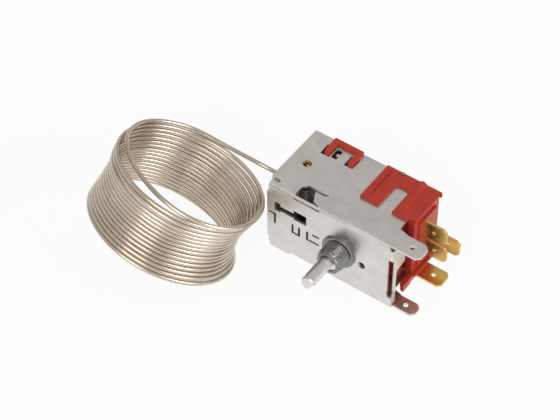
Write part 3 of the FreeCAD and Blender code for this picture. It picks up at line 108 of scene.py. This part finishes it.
class Surface(Nodes):
    """A new material with its main shader and the ways that its looks are made."""

    def __init__(self, name):
        self.material = bpy.data.materials.new(name)
        self.material.use_nodes = True
        super().__init__(self.material.node_tree)
        self.shader = self.tree.nodes["Principled BSDF"]
        self.coords = self.add("ShaderNodeTexCoord", {}).outputs["Object"]

    def stretched(self, grain):
        """Object coordinates stretched by a factor along each axis."""
        return self.add("ShaderNodeMapping", {"Vector": self.coords, "Scale": grain}).outputs["Vector"]

    def noise(self, vector, scale, detail, rough):
        inputs = {"Vector": vector, "Scale": scale, "Detail": detail, "Roughness": rough}
        return self.add("ShaderNodeTexNoise", inputs).outputs["Fac"]

    def ramp(self, source, ends, colours):
        """Goes from the first colour at the first value to the second colour at the second one."""
        node = self.add("ShaderNodeValToRGB", {"Fac": source})
        for element, place, colour in zip(node.color_ramp.elements, ends, colours):
            element.position = place
            element.color = (*colour, 1.0)
        return node.outputs["Color"]

    def span(self, noise, low, high):
        """Spreads a noise over the values from low to high."""
        ends = {"From Min": NOISE_LOW, "From Max": NOISE_HIGH, "To Min": low, "To Max": high}
        return self.add("ShaderNodeMapRange", {"Value": noise, **ends}).outputs["Result"]

    def within(self, low, high):
        """1 inside a box of object coordinates, 0 outside it."""
        place = self.add("ShaderNodeSeparateXYZ", {0: self.coords})
        share = 1.0
        for axis, value in enumerate(place.outputs):
            over = self.math("GREATER_THAN", value, low[axis])
            under = self.math("LESS_THAN", value, high[axis])
            share = self.math("MULTIPLY", share, self.math("MULTIPLY", over, under))
        return share

    def tint(self, share, colour, other):
        """Goes from a colour's output to a plain colour where the share is 1."""
        inputs = {MIX_SHARE: share, MIX_FIRST: colour, MIX_SECOND: (*other, 1.0)}
        return self.add("ShaderNodeMix", inputs, data_type="RGBA").outputs[MIX_RESULT]

    def bump(self, height, strength, rounding):
        """Surface relief, over edges that look slightly rounded."""
        inputs = {"Height": height, "Strength": strength, "Distance": RELIEF_DEPTH}
        if rounding:
            bevel = self.add("ShaderNodeBevel", {"Radius": rounding}, samples=BEVEL_SAMPLES)
            inputs["Normal"] = bevel.outputs["Normal"]
        self.fill(self.shader, {"Normal": self.add("ShaderNodeBump", inputs).outputs["Normal"]})


# Materials

METAL_FINE = 2600.0  # scale of the grain that all metals have
METAL_ENDS = (0.36, 0.64)  # the noise's values at the darker and the lighter colour
METAL_GLOSS = (-0.04, 0.06)  # how far the roughness strays from its middle value
METAL_EDGE = 0.00012
PLASTIC_BROAD = 150.0
PLASTIC_FINE = 1500.0
PLASTIC_ENDS = (0.3, 0.7)
PLASTIC_GLOSS = (-0.05, 0.08)
PLASTIC_EDGE = 0.00018
# The box where one sees into the channel, and the plain dark colour painted there as shade
PAINTED_SHADE_BOX = (point(-25.85, 0.86, -13.16), point(16.0, 26.05, 13.16))
PAINTED_SHADE_COLOUR = (0.14, 0.135, 0.13)


def metal(name, dark, light, rough, grain=None, relief=0.05, rounding=METAL_EDGE, blotch=180.0, speckle=0.35,
          inside=None):
    """Metal with soft blotches, fine grain, slightly uneven gloss and softened edges; where a box is given
    as inside, its colour there is a plain dark painted shade.
    """
    made = Surface(name)
    broad = made.noise(made.coords, blotch, detail=4.0, rough=0.6)
    fine = made.noise(made.stretched(grain) if grain else made.coords, METAL_FINE, detail=3.0, rough=0.6)
    both = made.math("ADD", made.math("MULTIPLY", broad, 1 - speckle), made.math("MULTIPLY", fine, speckle))
    colour = made.ramp(both, METAL_ENDS, (dark, light))
    # Painted shade: a plain dark colour inside the given box
    if inside:
        colour = made.tint(made.within(*inside), colour, PAINTED_SHADE_COLOUR)
    gloss = made.span(both, rough + METAL_GLOSS[0], rough + METAL_GLOSS[1])
    made.fill(made.shader, {"Metallic": 1.0, "Base Color": colour, "Roughness": gloss})
    made.bump(both, relief, rounding)
    return made.material


def plastic(name, dark, light, rough):
    """Moulded plastic with a faint orange-peel skin."""
    made = Surface(name)
    broad = made.noise(made.coords, PLASTIC_BROAD, detail=3.0, rough=0.5)
    fine = made.noise(made.coords, PLASTIC_FINE, detail=2.0, rough=0.5)
    colour = made.ramp(broad, PLASTIC_ENDS, (dark, light))
    gloss = made.span(fine, rough + PLASTIC_GLOSS[0], rough + PLASTIC_GLOSS[1])
    made.fill(made.shader, {"Base Color": colour, "Roughness": gloss, "Specular IOR Level": 0.35})
    made.bump(fine, strength=0.08, rounding=PLASTIC_EDGE)
    return made.material


# Dull zinc on the channel, with painted shade where one sees into it
zinc = metal("zinc_plate", (0.66, 0.632, 0.608), (0.78, 0.752, 0.722), rough=0.36, inside=PAINTED_SHADE_BOX)
zinc_plate = metal("end_plate_zinc", (0.68, 0.655, 0.61), (0.80, 0.775, 0.73), rough=0.34)

# Turned, ground, stamped and drawn steel
nickel = metal("turned_nickel", (0.70, 0.69, 0.67), (0.78, 0.77, 0.75), rough=0.2, grain=(1.0, 0.05, 1.0),
               relief=0.0, blotch=70.0, speckle=0.1)
bush_metal = metal("bush_nickel", (0.20, 0.20, 0.19), (0.30, 0.295, 0.28), rough=0.28,
                   relief=0.02, speckle=0.2)
pin_metal = metal("ground_pin", (0.36, 0.36, 0.35), (0.48, 0.48, 0.47), rough=0.25,
                  relief=0.02, speckle=0.15)
# Painted shade: the lever's steel is made dark to stand for the shade where it lies inside the channel
lever_painted_shade_metal = metal("stamped_lever_painted_shade", (0.20, 0.20, 0.20), (0.36, 0.355, 0.35), rough=0.34)
wire_metal = metal("spring_wire", (0.20, 0.20, 0.20), (0.34, 0.34, 0.33), rough=0.3)

# Contacts, tabs and the warm grey tube
silver = metal("contact_silver", (0.62, 0.62, 0.6), (0.75, 0.75, 0.73), rough=0.28)
brass = metal("rolled_brass", (0.74, 0.46, 0.125), (0.90, 0.61, 0.22), rough=0.24, grain=(0.15, 1.0, 1.0),
              relief=0.015, speckle=0.12)
capillary_metal = metal("capillary_tube", (0.56, 0.475, 0.385), (0.72, 0.635, 0.545), rough=0.2, relief=0.0,
                        rounding=0.0, blotch=60.0, speckle=0.0)

# Mouldings
red = plastic("red_moulding", (0.39, 0.028, 0.014), (0.48, 0.038, 0.02), rough=0.36)
white = plastic("white_moulding", (0.62, 0.61, 0.57), (0.72, 0.71, 0.67), rough=0.45)

FINISH = {
    "plated_steel": zinc,
    "bright_steel": nickel,
    "pin_steel": pin_metal,
    "lever_steel": lever_painted_shade_metal,
    "spring_steel": wire_metal,
    "brass": brass,
    "contact_silver": silver,
    "red_moulding": red,
    "white_moulding": white,
    "capillary_tube": capillary_metal,
}

for entry in frame["record"]["subparts"]:
    dress(nodes[entry["node"]], FINISH[entry["material_slot"]])
dress(nodes["end_plate"], zinc_plate)


# Capillary

TUBE = 0.7
COIL_FOOT = (-49.7, -23.6)
COIL_LEAN = math.radians(29.1)
COIL_BEARING = math.radians(61.3)
COIL_RADIUS = 24.0
COIL_TURNS = 16
COIL_PITCH = 1.45
COIL_WAIST = 1.2
COIL_SIDE = 1.5  # how much further in the middle turns lie on the side of the channel
SIDE_TURN = 0.75  # the share of a turn at which the winding lies nearest to the channel
SHOWN_TURNS = 16.125
POINTS_A_TURN = 16
SPLINE_SHARE = 0.981  # how far out the spline runs, against its control points
STRAY = 0.14  # how far a turn may differ from its neighbours in size and place
STRAY_SEED = 7
SPARE_TURNS = 3
TUBE_RESOLUTION = 6
TUBE_ROUNDNESS = 5

# Turn numbers from the top between which the tube leaves its neighbours, and how far inwards, in mm
LOOSE = [
    (0.10, 0.60, 5.2),
    (0.66, 1.0, -1.2),
    (1.15, 1.72, 1.2),
    (1.6, 1.98, -1.2),
    (2.2, 2.6, 0.9),
    (2.6, 2.96, -0.9),
    (3.6, 3.95, -0.5),
    (14.55, 14.98, -0.5),
    (15.5, 15.98, -0.8),
]

# From the ferrule to where the winding begins, which is the last place
LEAD = [
    (-31.4, 13.15, 2.7), (-34.6, 13.15, 2.7), (-38.05, 12.53, 3.53), (-44.1, 10.32, 6.53),
    (-50.8, 7.71, 10.08), (-57.4, 5.0, 13.5),
]


def coil_frame():
    """The middle of the lowest turn, the winding's axis and two directions across it."""
    axis = Vector((math.sin(COIL_LEAN) * math.cos(COIL_BEARING),
                   math.sin(COIL_LEAN) * math.sin(COIL_BEARING), math.cos(COIL_LEAN)))
    across = axis.cross(Vector((0, 0, 1))).normalized()
    other = axis.cross(across)
    height = FLOOR_LEVEL + (COIL_RADIUS + TUBE) * math.sin(COIL_LEAN) + TUBE * math.cos(COIL_LEAN)
    return Vector((*COIL_FOOT, height)), axis, across, other


def loose_turn(turn):
    """How far a loose turn leaves the others, inwards in mm, at this place of the winding."""
    for first, last, inward in LOOSE:
        if first <= turn <= last:
            return inward * math.sin(math.pi * (turn - first) / (last - first)) ** 2
    return 0.0


def coil_points(top_angle):
    """Turns from the top down, each a little different in size and place, with a few loose stretches."""
    foot, axis, across, other = coil_frame()
    chance = random.Random(STRAY_SEED)
    half = COIL_TURNS * COIL_PITCH / 2
    strays = [[chance.uniform(-STRAY, STRAY) for _ in range(3)] for _ in range(COIL_TURNS + SPARE_TURNS)]
    made = []
    for step in range(round(SHOWN_TURNS * POINTS_A_TURN) + 1):
        turn = step / POINTS_A_TURN
        index = int(turn)
        share = turn - index
        size, east, north = [a * (1 - share) + b * share for a, b in zip(strays[index], strays[index + 1])]
        level = 2 * half * (1 - turn / COIL_TURNS)
        middle = 1 - ((level - half) / half) ** 2
        near = (0.5 + 0.5 * math.cos(2 * math.pi * (turn - SIDE_TURN))) ** 2
        ends = max(0.0, min(level, 2 * half - level, COIL_PITCH) / COIL_PITCH)
        narrow = middle * (COIL_WAIST + COIL_SIDE * near)
        radius = (COIL_RADIUS - narrow + size * ends) / SPLINE_SHARE - loose_turn(turn)
        angle = top_angle + 2 * math.pi * turn
        place = foot + axis * level + (across * (math.cos(angle) * radius + east * ends)
                                       + other * (math.sin(angle) * radius + north * ends))
        made.append(point(*place))
    return made


def tube_curve(name, points, radius):
    """A tube on one smooth spline. Its points hold the radius, so the bevel's own depth is 1."""
    curve = bpy.data.curves.new(name, "CURVE")
    curve.dimensions = "3D"
    curve.resolution_u = TUBE_RESOLUTION
    curve.bevel_depth = 1.0
    curve.bevel_resolution = TUBE_ROUNDNESS
    curve.use_fill_caps = True
    spline = curve.splines.new("NURBS")
    spline.points.add(len(points) - 1)
    for item, place in zip(spline.points, points):
        item.co = (*place, 1.0)
        item.radius = radius
    spline.order_u = 3
    spline.use_endpoint_u = True
    return placed(name, curve)


def line_length(thing):
    """The length of a curve's own line, read without its thickness."""
    depth = thing.data.bevel_depth
    thing.data.bevel_depth = 0
    bpy.context.view_layer.update()
    mesh = bpy.data.meshes.new_from_object(thing.evaluated_get(bpy.context.evaluated_depsgraph_get()))
    ends = [[mesh.vertices[index].co for index in edge.vertices] for edge in mesh.edges]
    total = sum((first - last).length for first, last in ends)
    bpy.data.meshes.remove(mesh)
    thing.data.bevel_depth = depth
    return total


def make_capillary():
    """The lead and the wound stretch as one tube; the winding starts where the lead's last place is."""
    foot, axis, across, other = coil_frame()
    last = Vector(LEAD[-1]) - foot
    flat = last - axis * last.dot(axis)
    start = math.atan2(flat.dot(other), flat.dot(across))
    points = [point(*place) for place in LEAD[:-1]] + coil_points(start)
    thing = tube_curve("capillary", points, TUBE * MM)
    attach(thing, "case")
    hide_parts("capillary_lead", "capillary_coil")
    dress(thing, capillary_metal)
    round(line_length(thing), 3)


# Bush with its thread, its radii and its lengths out from the channel's front face in mm

SHEET = 0.8  # thickness of the channel's front face
BUSH_THREAD = 4.45
BUSH_ROOT = 4.02
BUSH_NOSE = 3.9
BUSH_BORE = 2.8
BUSH_LONG = 6.0
BUSH_RING = 5.8
BUSH_RIVET = 5.3
RIVET_HIGH = 0.7
RING_EDGE = 0.1
RING_CORNER = 0.08
NOSE_LONG = 0.55
NOSE_STEP = 0.1
NOSE_EDGE = 0.12
NOSE_CORNER = 0.08
BORE_EDGE = 0.15
THREAD_PITCH = 0.75
THREAD_START = 0.15
THREAD_FADE = 0.3
THREAD_STOP = 1.3  # from the thread's last sample to the bush's end
THREAD_STEPS = 66
BUSH_SIDES = 72
BUSH_SHARP = 50


def mesh_piece(name, rows, close_rows=False):
    """A skin over rows of points; each row is a closed ring, and the last row may meet the first."""
    shape = bmesh.new()
    rings = [[shape.verts.new(place) for place in row] for row in rows]
    count = len(rings[0])
    last = len(rings) if close_rows else len(rings) - 1
    for index in range(last):
        near, far = rings[index], rings[(index + 1) % len(rings)]
        for side in range(count):
            after = (side + 1) % count
            shape.faces.new((near[side], near[after], far[after], far[side]))
    if not close_rows:
        shape.faces.new(reversed(rings[0]))
        shape.faces.new(rings[-1])
    bmesh.ops.recalc_face_normals(shape, faces=shape.faces)
    mesh = bpy.data.meshes.new(name)
    shape.to_mesh(mesh)
    shape.free()
    return placed(name, mesh)


def smooth(thing, angle):
    """Smooth shading, apart from edges sharper than this many degrees."""
    mesh = thing.data
    mesh.polygons.foreach_set("use_smooth", [True] * len(mesh.polygons))
    mesh.set_sharp_from_angle(angle=math.radians(angle))


def thread_radius(along, turn_share):
    """The thread's radius at this distance from the ring, where it starts without a root."""
    if along <= THREAD_START:
        return BUSH_THREAD
    phase = (along / THREAD_PITCH + turn_share) % 1
    depth = (BUSH_THREAD - BUSH_ROOT) * min(1.0, (along - THREAD_START) / THREAD_FADE)
    return BUSH_THREAD - depth * abs(2 * phase - 1)


def bush_profile(turn_share):
    """Radius and depth pairs round the bush's section at one angle, from the rivet to the nose."""
    ring = -SEAT
    nose = -BUSH_LONG
    pairs = [(BUSH_BORE, SHEET + RIVET_HIGH), (BUSH_RIVET, SHEET + RIVET_HIGH), (BUSH_RIVET, SHEET),
             (BUSH_THREAD, SHEET), (BUSH_THREAD, 0.0), (BUSH_RING - RING_CORNER, 0.0),
             (BUSH_RING, -RING_EDGE), (BUSH_RING, ring + RING_EDGE), (BUSH_RING - RING_EDGE, ring)]
    for index in range(THREAD_STEPS + 1):
        along = (BUSH_LONG - THREAD_STOP - SEAT) * index / THREAD_STEPS
        pairs.append((thread_radius(along, turn_share), ring - along))
    pairs += [(BUSH_NOSE + NOSE_CORNER, nose + NOSE_LONG + NOSE_STEP), (BUSH_NOSE, nose + NOSE_LONG),
              (BUSH_NOSE, nose + NOSE_EDGE), (BUSH_NOSE - NOSE_EDGE, nose), (BUSH_BORE + BORE_EDGE, nose),
              (BUSH_BORE, nose + BORE_EDGE)]
    return pairs


def make_bush():
    """The staked bush with its rolled thread, turned about the spindle's axis."""
    rows = []
    for side in range(BUSH_SIDES):
        share = side / BUSH_SIDES
        angle = 2 * math.pi * share
        rows.append([point(r * math.cos(angle), y, r * math.sin(angle)) for r, y in bush_profile(share)])
    thing = mesh_piece("bush_with_thread", rows, close_rows=True)
    smooth(thing, BUSH_SHARP)
    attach(thing, "case")
    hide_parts("threaded_bush")
    dress(thing, bush_metal)


# Channel, with the whole of the tall slot and with its rear edge folded down

SLOT_LOW = (17.4, -1.0, -9.0)
SLOT_HIGH = (19.6, 1.7, 8.0)
FOLD_LOW = (-24.6, 25.3, 4.4)
FOLD_HIGH = (-6.4, 26.1, 13.4)
BLOCK_FACES = [(3, 2, 1, 0), (4, 5, 6, 7), (0, 1, 5, 4), (1, 2, 6, 5), (2, 3, 7, 6), (3, 0, 4, 7)]
WELD = 1e-7
CHANNEL_SHARP = 25


def block(name, low, high):
    """A box between two of its corners."""
    low, high = point(*low), point(*high)
    outline = ((low.x, low.y), (high.x, low.y), (high.x, high.y), (low.x, high.y))
    mesh = bpy.data.meshes.new(name)
    mesh.from_pydata([(x, y, z) for z in (low.z, high.z) for x, y in outline], [], BLOCK_FACES)
    return placed(name, mesh)


def plain_copy(name, source):
    """A welded copy of a piece's surface, in the shared frame."""
    shape = bmesh.new()
    shape.from_mesh(source.data)
    shape.transform(source.matrix_world)
    bmesh.ops.remove_doubles(shape, verts=shape.verts, dist=WELD)
    points = [vertex.co.copy() for vertex in shape.verts]
    shape.verts.index_update()
    faces = [[vertex.index for vertex in face.verts] for face in shape.faces]
    shape.free()
    mesh = bpy.data.meshes.new(name)
    mesh.from_pydata(points, [], faces)
    return placed(name, mesh)


def worked(thing, tool, operation):
    """Cuts or joins one solid with another, and deletes the tool."""
    step = thing.modifiers.new("work", "BOOLEAN")
    step.object = tool
    step.operation = operation
    step.solver = "EXACT"
    bpy.context.view_layer.update()
    result = bpy.data.meshes.new_from_object(thing.evaluated_get(bpy.context.evaluated_depsgraph_get()))
    thing.modifiers.remove(step)
    thing.data = result
    bpy.data.objects.remove(tool)


def make_channel():
    """The channel as solid, with the slot cut and the edge joined on."""
    thing = plain_copy("folded_channel", nodes["frame_channel"])
    worked(thing, block("slot", SLOT_LOW, SLOT_HIGH), "DIFFERENCE")
    worked(thing, block("fold", FOLD_LOW, FOLD_HIGH), "UNION")
    smooth(thing, CHANNEL_SHARP)
    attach(thing, "case")
    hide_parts("frame_channel")
    dress(thing, zinc)


# Main spring, wound turn on turn

SPRING_X = -20.96
SPRING_Y = 13.2
SPRING_TOP = 4.3
SPRING_LOW = -8.5
SPRING_MIDDLE = 2.12  # radius to the middle of the wire
SPRING_WIRE = 0.32
SPRING_TURNS = 18
WIRE_SIDES = 8
STEPS_A_TURN = 20
SPRING_SHARP = 80


def spring_row(angle, height):
    """A ring of points round the wire at one place of the spring."""
    row = []
    for side in range(WIRE_SIDES):
        lean = 2 * math.pi * side / WIRE_SIDES
        reach = SPRING_MIDDLE + SPRING_WIRE * math.cos(lean)
        row.append(point(SPRING_X + math.cos(angle) * reach, SPRING_Y + math.sin(angle) * reach,
                         height + SPRING_WIRE * math.sin(lean)))
    return row


def make_spring():
    """A close-wound spring between the anchor and the plug."""
    low = SPRING_LOW + SPRING_WIRE
    high = SPRING_TOP - SPRING_WIRE
    total = SPRING_TURNS * STEPS_A_TURN
    rows = [spring_row(2 * math.pi * step / STEPS_A_TURN, low + (high - low) * (step / total))
            for step in range(total + 1)]
    thing = mesh_piece("wound_spring", rows)
    smooth(thing, SPRING_SHARP)
    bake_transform(thing)
    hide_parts("main_spring")
    dress(thing, wire_metal)


# Camera, as fitted to the photograph

CAMERA_PLACE = (210.95, -325.79, 458.33)
CAMERA_TURN = math.radians(35.527)
CAMERA_RISE = math.radians(48.588)
CAMERA_ROLL = math.radians(0.073)
FOCAL_PIXELS = 2000
PHOTO_WIDE = 560
SENSOR = 36.0
CLIP_NEAR, CLIP_FAR = 0.01, 20


def make_camera():
    data = bpy.data.cameras.new("camera")
    data.sensor_width = SENSOR
    data.lens = FOCAL_PIXELS / PHOTO_WIDE * SENSOR
    data.clip_start = CLIP_NEAR
    data.clip_end = CLIP_FAR
    camera = placed("camera", data)
    back = Vector((math.sin(CAMERA_TURN) * math.cos(CAMERA_RISE),
                   -math.cos(CAMERA_TURN) * math.cos(CAMERA_RISE), math.sin(CAMERA_RISE)))
    right = Vector((math.cos(CAMERA_TURN), math.sin(CAMERA_TURN), 0))
    up = back.cross(right)
    facing = Matrix((right, up, back)).transposed().to_4x4()
    camera.matrix_world = facing @ Matrix.Rotation(CAMERA_ROLL, 4, "Z")
    camera.location = point(*CAMERA_PLACE)
    bpy.context.scene.camera = camera


# Floor, world and lamps

FLOOR_REACH = 3.0
FLOOR_GAP = 0.0001
FLOOR_GRAIN = 6.0
FLOOR_ENDS = (0.2, 0.8)
FLOOR_COLOURS = ((0.90, 0.90, 0.90), (0.93, 0.93, 0.93))
FLOOR_GLOW = 0.92  # how far the floor looks plain white, so that a shade on it shows only faintly
WORLD_COLOUR = (1.0, 0.985, 0.96, 1.0)
WORLD_LIGHT = 0.58


def make_floor():
    level = FLOOR_LEVEL * MM - FLOOR_GAP
    corners = [(x * FLOOR_REACH, y * FLOOR_REACH, level) for x, y in ((-1, -1), (1, -1), (1, 1), (-1, 1))]
    mesh = bpy.data.meshes.new("floor")
    mesh.from_pydata(corners, [], [(0, 1, 2, 3)])
    floor = placed("floor", mesh)
    made = Surface("pale_floor")
    grain = made.noise(made.coords, FLOOR_GRAIN, detail=2.0, rough=0.5)
    colour = made.ramp(grain, FLOOR_ENDS, FLOOR_COLOURS)
    made.fill(made.shader, {"Base Color": colour, "Roughness": 0.9, "Specular IOR Level": 0.1})
    path = made.add("ShaderNodeLightPath", {})
    seen = made.math("MAXIMUM", path.outputs["Is Camera Ray"], path.outputs["Is Glossy Ray"])
    share = made.math("MULTIPLY", seen, FLOOR_GLOW)
    glow = made.add("ShaderNodeEmission", {"Color": WHITE, "Strength": 1.0})
    both = made.add("ShaderNodeMixShader", {0: share, 1: made.shader.outputs[0], 2: glow.outputs[0]})
    made.fill(made.tree.nodes["Material Output"], {"Surface": both.outputs[0]})
    dress(floor, made.material)


def make_world():
    """A warm white all round that lights the object, behind a plain white for the camera."""
    world = bpy.data.worlds.new("studio")
    bpy.context.scene.world = world
    world.use_nodes = True
    made = Nodes(world.node_tree)
    around = made.fill(made.tree.nodes["Background"], {"Color": WORLD_COLOUR, "Strength": WORLD_LIGHT})
    backdrop = made.add("ShaderNodeBackground", {"Color": WHITE, "Strength": 1.0})
    path = made.add("ShaderNodeLightPath", {})
    seen = made.math("MAXIMUM", path.outputs["Is Camera Ray"], path.outputs["Is Transmission Ray"])
    both = made.add("ShaderNodeMixShader", {0: seen, 1: around.outputs[0], 2: backdrop.outputs[0]})
    made.fill(made.tree.nodes["World Output"], {"Surface": both.outputs[0]})


def make_lamp(name, place, aim, size, power):
    """A square soft lamp turned towards a point."""
    data = bpy.data.lights.new(name, "AREA")
    data.shape = "RECTANGLE"
    data.size = data.size_y = size
    data.energy = power
    lamp = placed(name, data)
    lamp.location = place
    lamp.rotation_euler = (Vector(aim) - Vector(place)).to_track_quat("-Z", "Y").to_euler()


make_channel()
make_bush()
make_spring()
make_capillary()
make_camera()
make_floor()
make_world()
make_lamp("key", place=(0.15, -0.75, 0.6), aim=(-0.01, 0.0, 0.0), size=0.6, power=2.8)
make_lamp("fill", place=(0.7, 0.1, 0.35), aim=(0.0, 0.0, 0.0), size=0.5, power=2.4)

bpy.context.scene.view_settings.view_transform = "Standard"

bpy.context.view_layer.update()
